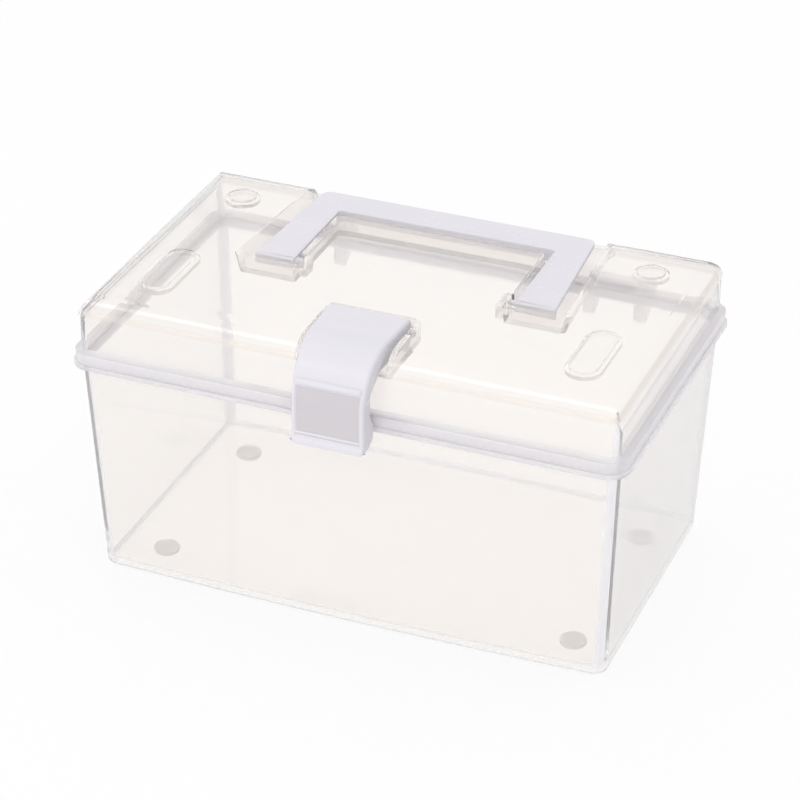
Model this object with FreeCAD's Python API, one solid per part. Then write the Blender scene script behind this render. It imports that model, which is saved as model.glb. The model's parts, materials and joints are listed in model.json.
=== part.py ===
import FreeCAD, Part
import math
import os

Vector = FreeCAD.Vector

# All sizes are millimetres. The box stands on its feet at z = 0, with +X to its right as seen
# from the front, the latch on the -Y side and the hinges on the +Y side. The origin is the
# middle of its footprint, which runs from the latch's finger lip to the hinge barrels.

# Bin: a drafted open box with a rim that the lid covers and a lip that the lid rests over
bin_base_width = 243.0
bin_base_depth = 137.0
bin_top_width = 251.6
bin_top_depth = 148.2
bin_height = 106.8
bin_wall = 2.0
bin_floor = 2.2
bin_corner_radius = 6.0
bin_base_round = 2.2
bin_base_bow = 2.4
lip_overhang = 4.3
lip_thickness = 2.2
lip_edge = 0.5

# Lid: a domed shell on a skirt that drops over the bin's rim
seat_gap = 0.3
skirt_step = 1.0
skirt_wall = 1.8
skirt_height = 5.0
rim_gap = 0.5
shoulder_width = 3.1
shoulder_rise = 1.3
lid_wall = 1.8
lid_rise = 25.2
lid_lean = 1.8
lid_long_round = 12.0
lid_side_round = 5.0

# Carry handle: a flat U with a stiffening flange round its inner edge, pivoted at the lid's middle
handle_opening_width = 106.0
handle_opening_depth = 51.0
handle_bar_width = 16.5
handle_leg_width = 19.0
handle_leg_taper = 5.0
handle_plate = 2.0
handle_flange = 2.0
handle_depth = 6.0
handle_drop = 1.4
handle_corner_radius = 4.0
handle_inner_radius = 1.5
peg_diameter = 4.6
peg_bite = 2.8

# Channel in the lid's top that the handle lies in, open at the back, round a raised island
channel_floor_gap = 1.0
channel_side_gap = 6.0
channel_front_gap = 3.0
channel_draft = 2.4
channel_corner_radius = 3.0
island_side_gap = 2.0
island_rear_gap = 7.0
island_draft = 0.8
peg_clearance = 0.1
peg_end_gap = 0.4
pocket_mouth_share = 0.9

# Latch: a bent clip on a pin at its rear end, in a recess of the lid
latch_rear_width = 39.0
latch_front_width = 33.6
latch_length = 49.3
latch_rise = 2.8
latch_stand_off = 10.1
latch_tail = 7.0
latch_plate = 2.0
latch_bend_radius = 24.0
latch_edge_radius = 0.8
latch_rear_radius = 3.5
wing_wall = 2.0
wing_depth = 6.8
wing_gusset = 10.0
wing_step = 1.5
wing_lip_gap = 0.5
pivot_inset = 4.3
pivot_drop = 3.4
pivot_eye_radius = 3.8
latch_pin_diameter = 3.0
recess_gap = 1.0
recess_side_gap = 0.9
recess_corner_radius = 2.0
hook_bite = 1.2
hook_gap = 0.4
hook_thickness = 2.2
bead_radius = 1.6
bead_proud = 0.9
bead_angle = 24.5
bead_length_share = 0.92
finger_lip_height = 2.4
finger_lip_proud = 0.9

# Rear hinges: two bin ears round one lid knuckle, on a pin
hinge_inset = 55.1
hinge_barrel_radius = 4.8
ear_width = 6.0
knuckle_width = 18.0
hinge_end_gap = 0.4
hinge_gusset = 9.0
hinge_pin_diameter = 3.2
pin_clearance = 0.08
pin_fit = 0.03

# Feet, and the recesses in the lid's top that take the feet of a second box
foot_end_inset = 21.5
foot_side_inset = 22.5
foot_diameter = 12.0
foot_height = 1.5
foot_seat = 0.6
foot_fit = 0.1
stack_clearance = 0.5
stack_depth = 1.8
slot_travel = 26.0

# How far a cut runs past the face that it opens, and how near two places count as one
overrun = 6.0
tolerance = 0.01

# Levels and half sizes that follow from the driving sizes
bin_base_z = foot_height
lip_bottom_z = bin_base_z + bin_height
lip_top_z = lip_bottom_z + lip_thickness
skirt_bottom_z = lip_top_z + seat_gap
skirt_top_z = skirt_bottom_z + skirt_height
rim_top_z = skirt_top_z - lid_wall - rim_gap
lid_foot_z = skirt_top_z + shoulder_rise
lid_top_z = lid_foot_z + lid_rise

bin_top_x = bin_top_width / 2
bin_top_y = bin_top_depth / 2
lip_x = bin_top_x + lip_overhang
lip_y = bin_top_y + lip_overhang
lip_corner_radius = bin_corner_radius + lip_overhang
skirt_x = lip_x - skirt_step
skirt_y = lip_y - skirt_step
skirt_corner_radius = lip_corner_radius - skirt_step
lid_x = skirt_x - shoulder_width
lid_y = skirt_y - shoulder_width

handle_top_z = lid_top_z - handle_drop
handle_bottom_z = handle_top_z - handle_depth
handle_nose = handle_depth / 2
handle_pivot_z = handle_bottom_z + handle_nose
handle_inner_x = handle_opening_width / 2
handle_front_x = handle_inner_x + handle_leg_width
handle_rear_y = handle_opening_depth + handle_bar_width
channel_floor_z = handle_bottom_z - channel_floor_gap
island_x = handle_inner_x - island_side_gap
island_rear_y = handle_opening_depth - island_rear_gap
peg_tip_x = island_x - peg_bite

latch_front_y = -lip_y - latch_stand_off
latch_rear_y = latch_front_y + latch_length
latch_top_z = lid_top_z + latch_rise
latch_bottom_z = lip_bottom_z - latch_tail
latch_pivot_y = latch_rear_y - pivot_inset
latch_pivot_z = lid_top_z - pivot_drop
wing_low_z = latch_pivot_z - pivot_eye_radius
recess_floor_z = latch_pivot_z - pivot_inset - recess_gap
recess_x = latch_rear_width / 2 + recess_side_gap
recess_rear_y = latch_pivot_y + math.hypot(pivot_inset, latch_rise + pivot_drop) + recess_gap

footprint_y = -latch_front_y + finger_lip_proud
hinge_y = footprint_y - hinge_barrel_radius
hinge_z = lip_top_z
hinge_half_pin = knuckle_width / 2 + hinge_end_gap + ear_width

foot_radius = foot_diameter / 2
foot_x = bin_base_width / 2 - foot_end_inset
foot_y = bin_base_depth / 2 - foot_side_inset


def at_height(z):
    """Map a plan point (x, y) to the level z."""
    return lambda x, y: Vector(x, y, z)


def at_side(x):
    """Map a side-view point (y, z) to the plane at x."""
    return lambda y, z: Vector(x, y, z)


def rounded_wire(points, radii, place):
    """Join the points into a closed wire, rounding each corner by its radius."""
    corners = []
    for index, (u, v) in enumerate(points):
        before = points[index - 1]
        after = points[(index + 1) % len(points)]
        here = Vector(u, v, 0)
        towards = Vector(before[0] - u, before[1] - v, 0).normalize()
        onwards = Vector(after[0] - u, after[1] - v, 0).normalize()
        half_angle = towards.getAngle(onwards) / 2
        radius = radii[index]
        reach = radius / math.tan(half_angle)
        middle = (towards + onwards).normalize() * (radius / math.sin(half_angle) - radius)
        corners.append((here + towards * reach, here + middle, here + onwards * reach))
    edges = []
    for index, (start, middle, end) in enumerate(corners):
        last = corners[index - 1][2]
        if last.distanceToPoint(start) > tolerance:
            edges.append(Part.LineSegment(place(last.x, last.y), place(start.x, start.y)).toShape())
        if start.distanceToPoint(end) > tolerance:
            bend = [place(spot.x, spot.y) for spot in (start, middle, end)]
            edges.append(Part.Arc(*bend).toShape())
    return Part.Wire(edges)


def even(points, radius):
    """The same radius for each of the points."""
    return [radius] * len(points)


def rectangle(half_x, half_y):
    """Corner points of a rectangle about the origin."""
    return [(-half_x, -half_y), (half_x, -half_y), (half_x, half_y), (-half_x, half_y)]


def rounded_rectangle(half_x, half_y, radius, z):
    """Rectangular wire with equal round corners."""
    points = rectangle(half_x, half_y)
    return rounded_wire(points, even(points, radius), at_height(z))


def bowed_rectangle(half_x, half_y, radius, bow, z):
    """Round-cornered rectangle whose long sides bulge outward by the bow."""
    plain = rounded_rectangle(half_x, half_y, radius, z)
    edges = []
    for edge in plain.Edges:
        ends = [vertex.Point for vertex in edge.Vertexes]
        long_side = bow > tolerance and abs(edge.CenterOfMass.x) < tolerance
        if long_side:
            outward = math.copysign(half_y + bow, ends[0].y)
            edge = Part.Arc(ends[0], Vector(0, outward, z), ends[1]).toShape()
        edges.append(edge)
    return Part.Wire(edges)


def ruled_solid(wires):
    """Solid through wires of matching edges, straight between neighbours."""
    return Part.makeLoft(wires, True, True)


def prism(points, radii, bottom, top):
    """Upright solid with a rounded plan outline."""
    face = Part.Face(rounded_wire(points, radii, at_height(bottom)))
    return face.extrude(Vector(0, 0, top - bottom))


def side_solid(points, radii, left, right):
    """Solid with a rounded side-view outline, running from left to right along X."""
    face = Part.Face(rounded_wire(points, radii, at_side(left)))
    return face.extrude(Vector(right - left, 0, 0))


def rod(radius, left, right, y, z):
    """Cylinder along X."""
    return Part.makeCylinder(radius, right - left, Vector(left, y, z), Vector(1, 0, 0))


def taper_ended_rod(radius, left, right, y, z):
    """Rod along X with pointed ends, turned from a half outline."""
    points = [(left, z), (right, z), (right - radius, z + radius), (left + radius, z + radius)]
    wire = rounded_wire(points, even(points, 0), lambda x, level: Vector(x, y, level))
    return Part.Face(wire).revolve(Vector(left, y, z), Vector(1, 0, 0), 360)


def edged_slab(half_x, half_y, radius, bottom, top, edge):
    """Round-cornered slab with its outer edges broken."""
    levels = [(bottom, edge), (bottom + edge, 0), (top - edge, 0), (top, edge)]
    wires = []
    for z, inset in levels:
        wires.append(rounded_rectangle(half_x - inset, half_y - inset, radius - inset, z))
    return ruled_solid(wires)


def tangent_arm(root_y, shelf_z, far_z):
    """Web from a wall at root_y to the hinge barrel, closed by the barrel's tangent."""
    across = hinge_y - root_y
    rise = hinge_z - far_z
    span = math.hypot(across, rise)
    turn = math.copysign(math.asin(hinge_barrel_radius / span), rise)
    heading = math.atan2(rise, across) - turn
    reach = math.sqrt(span ** 2 - hinge_barrel_radius ** 2)
    touch = (root_y + reach * math.cos(heading), far_z + reach * math.sin(heading))
    return [(root_y, shelf_z), (hinge_y, shelf_z), touch, (root_y, far_z)]


def hinge_leaf(root_y, shelf_z, far_z, left, right):
    """Barrel and web of one hinge leaf between two X places."""
    arm = tangent_arm(root_y, shelf_z, far_z)
    web = side_solid(arm, even(arm, 0), left, right)
    return web.fuse(rod(hinge_barrel_radius, left, right, hinge_y, hinge_z))


def hinge_centres():
    """X places of the two hinges."""
    return [hinge_inset - lip_x, lip_x - hinge_inset]


def foot_centres():
    """Plan places of the feet, by name."""
    centres = {}
    for end, y in (("front", -foot_y), ("rear", foot_y)):
        for side, x in (("left", -foot_x), ("right", foot_x)):
            centres["foot_" + end + "_" + side] = (x, y)
    return centres


def bin_section(level_share, inset, z):
    """Bin outline at a level, from base (0) to top (1), drawn in by the inset."""
    half_x = (bin_base_width + (bin_top_width - bin_base_width) * level_share) / 2
    half_y = (bin_base_depth + (bin_top_depth - bin_base_depth) * level_share) / 2
    bow = bin_base_bow * (1 - level_share)
    radius = max(bin_corner_radius - inset, bin_wall)
    return bowed_rectangle(half_x - inset, half_y - inset, radius, bow, z)


def bin_body(inset, base_z):
    """Drafted body of the bin up to its lip, with a rounded base edge."""
    first = bin_base_round * (1 - math.cos(math.pi / 4))
    base = [(0, bin_base_round), (first, first), (bin_base_round, 0)]
    wires = []
    for height, draw in base:
        share = (base_z + height - bin_base_z) / bin_height
        wires.append(bin_section(share, inset + draw, base_z + height))
    wires.append(bin_section(1, inset, lip_bottom_z))
    return ruled_solid(wires)


def bin_rim(inset, bottom, top):
    """Straight band of the bin above its drafted walls."""
    radius = max(bin_corner_radius - inset, bin_wall)
    outline = rectangle(bin_top_x - inset, bin_top_y - inset)
    return prism(outline, even(outline, radius), bottom, top)


def make_bin():
    """Open box with rim, lip, hinge ears and seats for the feet."""
    body = bin_body(0, bin_base_z).fuse(bin_rim(0, lip_bottom_z, rim_top_z))
    body = body.fuse(edged_slab(lip_x, lip_y, lip_corner_radius, lip_bottom_z, lip_top_z, lip_edge))
    ear_root = bin_top_y - bin_wall / 2
    for centre in hinge_centres():
        for side in (-1, 1):
            inner = centre + side * (knuckle_width / 2 + hinge_end_gap)
            outer = inner + side * ear_width
            ends = sorted((inner, outer))
            body = body.fuse(hinge_leaf(ear_root, lip_top_z, lip_bottom_z - hinge_gusset, *ends))
    hollow = bin_body(bin_wall, bin_base_z + bin_floor)
    body = body.cut(hollow.fuse(bin_rim(bin_wall, lip_bottom_z, rim_top_z + overrun)))
    for centre in hinge_centres():
        left = centre - hinge_half_pin - overrun
        right = centre + hinge_half_pin + overrun
        body = body.cut(rod(hinge_pin_diameter / 2 + pin_fit, left, right, hinge_y, hinge_z))
    for x, y in foot_centres().values():
        seat = Vector(x, y, bin_base_z - overrun)
        body = body.cut(Part.makeCylinder(foot_radius + foot_fit, foot_seat + overrun, seat))
    return body.removeSplitter()


def dome(half_x, half_y, base_z, top_z, long_round, side_round):
    """Domed block: leaning long walls, large long-edge rounds and smaller end rounds."""
    top_y = half_y - lid_lean
    section = [(-half_y, base_z), (half_y, base_z), (top_y, top_z), (-top_y, top_z)]
    block = side_solid(section, [0, 0, long_round, long_round], -half_x, half_x)
    end_edges = []
    for edge in block.Edges:
        box = edge.BoundBox
        at_end = box.XMin > half_x - tolerance or box.XMax < tolerance - half_x
        if at_end and box.ZMax > base_z + tolerance:
            end_edges.append(edge)
    return block.makeFillet(side_round, end_edges)


def lid_envelope():
    """Solid outer form of the lid's dome."""
    base = skirt_top_z - lid_wall
    return dome(lid_x, lid_y, base, lid_top_z, lid_long_round, lid_side_round)


def lid_shell(envelope):
    """Hollow dome, shoulder and skirt."""
    skirt = ruled_solid([
        rounded_rectangle(skirt_x, skirt_y, skirt_corner_radius, skirt_bottom_z),
        rounded_rectangle(skirt_x, skirt_y, skirt_corner_radius, skirt_top_z),
        rounded_rectangle(lid_x, lid_y, lid_side_round, lid_foot_z),
    ])
    hollow = dome(lid_x - lid_wall, lid_y - lid_wall, skirt_bottom_z - overrun, lid_top_z - lid_wall,
                  lid_long_round - lid_wall, lid_side_round - lid_wall)
    inner = rectangle(skirt_x - skirt_wall, skirt_y - skirt_wall)
    rim_space = prism(inner, even(inner, skirt_corner_radius - skirt_wall),
                      skirt_bottom_z - overrun, skirt_top_z - lid_wall)
    return envelope.fuse(skirt).cut(hollow.fuse(rim_space))


def handle_edge_x(y):
    """Half width of the handle's splayed outer edge at a depth."""
    return handle_front_x - handle_leg_taper * (y + handle_nose) / (handle_rear_y + handle_nose)


def channel_level(gap, front_y, z):
    """Outer outline of the handle channel at one level."""
    rear_y = lid_y + overrun
    front_x = handle_edge_x(front_y) + gap
    rear_x = handle_edge_x(rear_y) + gap
    points = [(-front_x, front_y), (front_x, front_y), (rear_x, rear_y), (-rear_x, rear_y)]
    round_off = channel_corner_radius
    return rounded_wire(points, [round_off, round_off, 0, 0], at_height(z))


def channel(grow):
    """U-shaped space of the handle channel, with every wall moved out by grow."""
    front_y = -handle_nose - channel_front_gap - grow
    floor_gap = channel_side_gap - channel_draft + grow
    floor_z = channel_floor_z - grow
    top_z = lid_top_z + overrun
    outer = ruled_solid([
        channel_level(floor_gap, front_y, floor_z),
        channel_level(channel_side_gap + grow, front_y, lid_top_z),
        channel_level(channel_side_gap + grow, front_y, top_z),
    ])
    wires = []
    for half_x, rear_y, z in (
        (island_x + island_draft - grow, island_rear_y + island_draft - grow, floor_z),
        (island_x - grow, island_rear_y - grow, lid_top_z),
        (island_x - grow, island_rear_y - grow, top_z),
    ):
        far_y = front_y - overrun
        points = [(-half_x, far_y), (half_x, far_y), (half_x, rear_y), (-half_x, rear_y)]
        wires.append(rounded_wire(points, [0, 0, channel_corner_radius, channel_corner_radius], at_height(z)))
    return outer.cut(ruled_solid(wires))


def peg_pocket(side, grow):
    """Snap-in seat of one handle peg: a bore with a narrower mouth at the top."""
    radius = peg_diameter / 2 + peg_clearance + grow
    ends = sorted((side * (peg_tip_x - peg_end_gap - grow), side * (island_x + island_draft)))
    seat = rod(radius, ends[0], ends[1], 0, handle_pivot_z)
    half_mouth = peg_diameter * pocket_mouth_share / 2 + grow
    top_z = lid_top_z + overrun
    corners = [(-half_mouth, handle_pivot_z), (half_mouth, handle_pivot_z),
               (half_mouth, top_z), (-half_mouth, top_z)]
    return seat.fuse(side_solid(corners, even(corners, 0), *ends))


def latch_recess(grow):
    """Space for the latch in the lid's top and front, with every wall moved out by grow."""
    half_x = recess_x + grow
    rear_y = recess_rear_y + grow
    front_y = -skirt_y - overrun
    points = [(-half_x, front_y), (half_x, front_y), (half_x, rear_y), (-half_x, rear_y)]
    round_off = recess_corner_radius + grow
    return prism(points, [0, 0, round_off, round_off], recess_floor_z - grow, lid_top_z + overrun)


def stacking_space(x, y, grow):
    """Recess for a stacked box's foot: round at the rear, a slot at the front."""
    radius = foot_radius + stack_clearance + grow
    travel = slot_travel if y < 0 else 0
    bottom = lid_top_z - stack_depth - grow
    height = lid_top_z + overrun - bottom
    space = Part.makeCylinder(radius, height, Vector(x, y, bottom))
    if travel:
        far = Part.makeCylinder(radius, height, Vector(x, y + travel, bottom))
        sides = [(x - radius, y), (x + radius, y), (x + radius, y + travel), (x - radius, y + travel)]
        space = space.fuse(far).fuse(prism(sides, even(sides, 0), bottom, bottom + height))
    return space


def make_lid():
    """Domed cover with its channel, recesses, pin seats and hinge knuckles."""
    envelope = lid_envelope()
    body = lid_shell(envelope)
    spaces = [channel, latch_recess]
    spaces += [lambda grow, side=side: peg_pocket(side, grow) for side in (-1, 1)]
    for x, y in foot_centres().values():
        spaces.append(lambda grow, x=x, y=y: stacking_space(x, y, grow))
    for space in spaces:
        body = body.fuse(space(lid_wall).common(envelope))
    for space in spaces:
        body = body.cut(space(0))
    pin_reach = recess_x + lid_wall
    pin_bore = latch_pin_diameter / 2 + pin_fit
    body = body.cut(rod(pin_bore, -pin_reach, pin_reach, latch_pivot_y, latch_pivot_z))
    knuckle_root = skirt_y - skirt_wall / 2
    hinge_bore = hinge_pin_diameter / 2 + pin_clearance
    for centre in hinge_centres():
        ends = (centre - knuckle_width / 2, centre + knuckle_width / 2)
        body = body.fuse(hinge_leaf(knuckle_root, skirt_bottom_z, skirt_top_z, *ends))
        body = body.cut(rod(hinge_bore, ends[0], ends[1], hinge_y, hinge_z))
    return body.removeSplitter()


def make_handle():
    """Flat U-shaped handle with inner flange, rounded noses and snap-in pegs."""
    rear_x = handle_edge_x(handle_rear_y)
    outer = [(-handle_front_x, -handle_nose), (handle_front_x, -handle_nose),
             (rear_x, handle_rear_y), (-rear_x, handle_rear_y)]
    corners = [0, 0, handle_corner_radius, handle_corner_radius]
    body = prism(outer, corners, handle_bottom_z, handle_top_z)
    front = -handle_nose - overrun
    opening = []
    for grow in (0, handle_flange):
        half_x = handle_inner_x + grow
        rear_y = handle_opening_depth + grow
        points = [(-half_x, front), (half_x, front), (half_x, rear_y), (-half_x, rear_y)]
        round_off = handle_inner_radius + grow
        opening.append(prism(points, [0, 0, round_off, round_off],
                             handle_bottom_z - overrun, handle_top_z + overrun))
    wide_x = handle_front_x + overrun
    underside = [(-wide_x, handle_flange - handle_nose), (wide_x, handle_flange - handle_nose),
                 (wide_x, handle_rear_y + overrun), (-wide_x, handle_rear_y + overrun)]
    hollow = prism(underside, even(underside, 0), handle_bottom_z - overrun, handle_top_z - handle_plate)
    body = body.cut(opening[0]).cut(hollow.cut(opening[1]))
    nosed = [(-handle_nose, handle_bottom_z), (handle_rear_y + overrun, handle_bottom_z),
             (handle_rear_y + overrun, handle_top_z), (-handle_nose, handle_top_z)]
    body = body.common(side_solid(nosed, [handle_nose, 0, 0, handle_nose], -wide_x, wide_x))
    root_x = handle_inner_x + handle_flange / 2
    for side in (-1, 1):
        ends = sorted((side * peg_tip_x, side * root_x))
        body = body.fuse(rod(peg_diameter / 2, ends[0], ends[1], 0, handle_pivot_z))
    return body.removeSplitter()


def latch_taper(inset):
    """Plan outline of the latch, wider at its pivot, drawn in at the sides by the inset."""
    front_y = latch_front_y - overrun
    rear_y = latch_rear_y + overrun
    slope = (latch_rear_width - latch_front_width) / (2 * latch_length)
    front_x = latch_front_width / 2 - slope * overrun - inset
    rear_x = latch_rear_width / 2 + slope * overrun - inset
    points = [(-front_x, front_y), (front_x, front_y), (rear_x, rear_y), (-rear_x, rear_y)]
    return prism(points, even(points, 0), latch_bottom_z - overrun, latch_top_z + overrun)


def latch_blank():
    """Solid side form of the latch with its finger lip, as wide as its pivot end."""
    lip_face_y = -lip_y - wing_lip_gap
    hook_bottom_z = lip_bottom_z - hook_gap - hook_thickness
    wing_y = latch_front_y + wing_depth
    bend_z = latch_top_z - latch_bend_radius
    gusset_y = wing_y + wing_gusset
    finger_lip_y = latch_front_y - finger_lip_proud
    edge = latch_edge_radius
    outline = [
        ((latch_rear_y, latch_top_z), latch_rear_radius),
        ((latch_front_y, latch_top_z), latch_bend_radius),
        ((latch_front_y, latch_bottom_z + finger_lip_height + finger_lip_proud), edge),
        ((finger_lip_y, latch_bottom_z + finger_lip_height), 0),
        ((finger_lip_y, latch_bottom_z), edge),
        ((latch_front_y + latch_plate, latch_bottom_z), 0),
        ((lip_face_y, hook_bottom_z), 0),
        ((lip_face_y, skirt_top_z - wing_step), 0),
        ((wing_y, skirt_top_z + wing_step), 0),
        ((wing_y, bend_z + wing_depth), 0),
        ((gusset_y, wing_low_z), 0),
        ((latch_rear_y, wing_low_z), pivot_eye_radius),
    ]
    points = [point for point, radius in outline]
    radii = [radius for point, radius in outline]
    return side_solid(points, radii, -recess_x, recess_x)


def latch_inside():
    """Space under the latch's skin, open towards the box."""
    skin_y = latch_front_y + latch_plate
    skin_z = latch_top_z - latch_plate
    back_y = latch_rear_y - latch_plate
    open_y = -bin_top_y
    low_z = wing_low_z - overrun
    tail_z = latch_bottom_z - overrun
    points = [(back_y, low_z), (back_y, skin_z), (skin_y, skin_z),
              (skin_y, tail_z), (open_y, tail_z), (open_y, low_z)]
    radii = [0, 0, latch_bend_radius - latch_plate, 0, 0, 0]
    return side_solid(points, radii, -recess_x, recess_x)


def make_latch():
    """Bent clip with side wings, pivot eyes, hook and grip bead."""
    body = latch_blank().common(latch_taper(0))
    body = body.cut(latch_inside().common(latch_taper(wing_wall)))
    hook_top = lip_bottom_z - hook_gap
    hook_low = hook_top - hook_thickness
    hook_root = latch_front_y + latch_plate / 2
    hook_tip = -lip_y + hook_bite
    hook = [(hook_root, hook_low), (hook_tip - hook_bite, hook_low),
            (hook_tip, hook_top - hook_thickness / 2), (hook_tip, hook_top), (hook_root, hook_top)]
    hook_x = latch_front_width / 2 - wing_wall / 2
    body = body.fuse(side_solid(hook, even(hook, 0), -hook_x, hook_x))
    angle = math.radians(bead_angle)
    arc_y = latch_front_y + latch_bend_radius
    arc_z = latch_top_z - latch_bend_radius
    seat = latch_bend_radius - bead_radius + bead_proud
    bead_y = arc_y - seat * math.cos(angle)
    bead_z = arc_z + seat * math.sin(angle)
    bead_x = latch_front_width * bead_length_share / 2
    body = body.fuse(taper_ended_rod(bead_radius, -bead_x, bead_x, bead_y, bead_z))
    bore = latch_pin_diameter / 2 + pin_clearance
    body = body.cut(rod(bore, -recess_x, recess_x, latch_pivot_y, latch_pivot_z))
    return body.removeSplitter()


def make_latch_pin():
    """Rod seated in the recess walls, through the latch's eyes."""
    reach = recess_x + lid_wall
    return rod(latch_pin_diameter / 2, -reach, reach, latch_pivot_y, latch_pivot_z)


def make_hinge_pin(centre):
    """Rod seated in two bin ears, through one lid knuckle."""
    left = centre - hinge_half_pin
    right = centre + hinge_half_pin
    return rod(hinge_pin_diameter / 2, left, right, hinge_y, hinge_z)


def make_foot(x, y):
    """Round pad let into the floor."""
    return Part.makeCylinder(foot_radius, foot_height + foot_seat, Vector(x, y, 0))


def main():
    """Build every piece and write one file for each."""
    os.makedirs("parts", exist_ok=True)
    nodes = {
        "bin": make_bin(),
        "lid": make_lid(),
        "carry_handle": make_handle(),
        "front_latch": make_latch(),
        "latch_pin": make_latch_pin(),
    }
    for name, centre in zip(("hinge_pin_left", "hinge_pin_right"), hinge_centres()):
        nodes[name] = make_hinge_pin(centre)
    for name, (x, y) in foot_centres().items():
        nodes[name] = make_foot(x, y)
    for name, shape in nodes.items():
        shape.exportStep("parts/" + name + ".step")
        print(name, "solids", len(shape.Solids), "valid", shape.isValid(), "volume", round(shape.Volume))


main()
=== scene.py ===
import json
import logging
import math
from collections.abc import Callable, Iterable, Sequence
from dataclasses import dataclass
from enum import Enum

import bmesh
import bpy
from bmesh.types import BMEdge, BMFace, BMVert
from mathutils import Matrix, Vector


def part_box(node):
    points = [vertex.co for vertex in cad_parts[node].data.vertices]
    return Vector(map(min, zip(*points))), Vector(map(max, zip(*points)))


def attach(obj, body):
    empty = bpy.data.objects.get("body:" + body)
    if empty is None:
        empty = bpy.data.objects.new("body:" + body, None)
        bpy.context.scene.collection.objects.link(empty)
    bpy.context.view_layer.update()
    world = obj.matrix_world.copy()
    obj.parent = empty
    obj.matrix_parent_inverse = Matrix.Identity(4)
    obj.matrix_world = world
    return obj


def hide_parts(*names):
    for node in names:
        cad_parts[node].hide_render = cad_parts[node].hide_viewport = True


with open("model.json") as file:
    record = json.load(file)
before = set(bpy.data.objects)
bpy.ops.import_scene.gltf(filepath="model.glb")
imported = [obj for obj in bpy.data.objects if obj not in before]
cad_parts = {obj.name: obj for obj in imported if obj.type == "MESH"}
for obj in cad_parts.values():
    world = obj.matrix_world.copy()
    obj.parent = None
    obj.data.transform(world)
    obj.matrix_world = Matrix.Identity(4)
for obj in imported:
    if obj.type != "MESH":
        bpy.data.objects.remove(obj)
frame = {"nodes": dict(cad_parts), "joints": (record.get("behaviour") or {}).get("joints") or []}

# Lengths are metres and angles are degrees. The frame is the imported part's own: +X to the right,
# -Y to the latch, +Z up, with the feet on z = 0.

LOG = logging.getLogger("storage_box")
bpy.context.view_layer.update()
ACROSS, ALONG, UP = Vector((1, 0, 0)), Vector((0, 1, 0)), Vector((0, 0, 1))
NEAR = 1e-5
ARC_STEP = 0.0018
LEAST_STEPS = 4
BAR_STEPS = 24
SHARP_ANGLE = math.radians(38)

# Parts of a face's normal that tell where it lies
FLAT = 0.99
FACING = 0.9
SIDEWAYS = 0.5
SLIGHT = 0.05
CORNER_LEAN = 0.15
BASE_LEAN = (0.2, 0.95)

Wanted = Callable[[Vector], bool]
Colour = tuple[float, float, float]
Place = tuple[float, float, float]
GroupEnds = tuple[bpy.types.NodeTree, bpy.types.Node, bpy.types.Node]


def joint_place(name: str) -> Vector:
    """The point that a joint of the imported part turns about."""
    return next(Vector(joint["pos_m"]) for joint in frame["joints"] if joint["name"] == name)


class Slot(Enum):
    """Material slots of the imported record."""

    CLEAR = "clear_plastic"
    WHITE = "white_plastic"
    PIN = "pin_plastic"
    FOOT = "foot_pad"


class Finish(Enum):
    """Looks of the plastics, by the place where each is seen."""

    CLEAR = "clear_wall"
    # Milkier, lavender copy of the clear plastic: on the rounds it paints the pale highlight and lavender
    # lines that refraction gives there; the hinge leaves take it as their milky plastic
    EDGE = "milky_edge"
    RIM = "milky_rim"
    WHITE = "satin_white"
    # Darker copy of the satin white: painted shade on the latch's recessed front panel
    SHADED_PANEL = "satin_panel_painted_shade"
    PIN = "natural_rod"
    FOOT = "soft_pad"


class Body(Enum):
    """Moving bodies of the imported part."""

    BIN = "bin"
    LID = "lid"
    HANDLE = "handle"
    LATCH = "latch"


@dataclass(frozen=True)
class Outline:
    """Round-cornered rectangle about the Z axis, its long sides bowed outward."""

    half_x: float
    half_y: float
    corner: float
    bow: float = 0.0

    def grown(self, by: float) -> "Outline":
        """The outline moved outward by a distance, or inward where that is negative."""
        return Outline(self.half_x + by, self.half_y + by, self.corner + by, self.bow)

    def towards(self, other: "Outline", share: float) -> "Outline":
        """Find the outline between this one and another.

        Args:
            other: Outline at the far end.
            share: How far to go, from 0 here to 1 there.

        Returns:
            The outline at that share of the way.
        """
        pairs = zip((self.half_x, self.half_y, self.corner, self.bow),
                    (other.half_x, other.half_y, other.corner, other.bow))
        return Outline(*(near + (far - near) * share for near, far in pairs))

    def carry(self, spot: Vector, source: "Outline", z: float) -> Vector:
        """Find the place on this outline that matches a point of another one.

        Args:
            spot: Point on the source outline.
            source: Outline that the point lies on.
            z: Level of the new point.

        Returns:
            The matching point, at that level.
        """
        flat_x = source.half_x - source.corner
        flat_y = source.half_y - source.corner
        if abs(spot.x) < flat_x - NEAR:
            share = abs(spot.x) / flat_x
            x = share * (self.half_x - self.corner)
            y = self.half_y + self.bow * (1 - share ** 2)
        elif abs(spot.y) < flat_y - NEAR:
            x = self.half_x
            y = abs(spot.y) / flat_y * (self.half_y - self.corner)
        else:
            x = self.half_x - self.corner + self.corner * (abs(spot.x) - flat_x) / source.corner
            y = self.half_y - self.corner + self.corner * (abs(spot.y) - flat_y) / source.corner
        return Vector((math.copysign(x, spot.x), math.copysign(y, spot.y), z))


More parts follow.
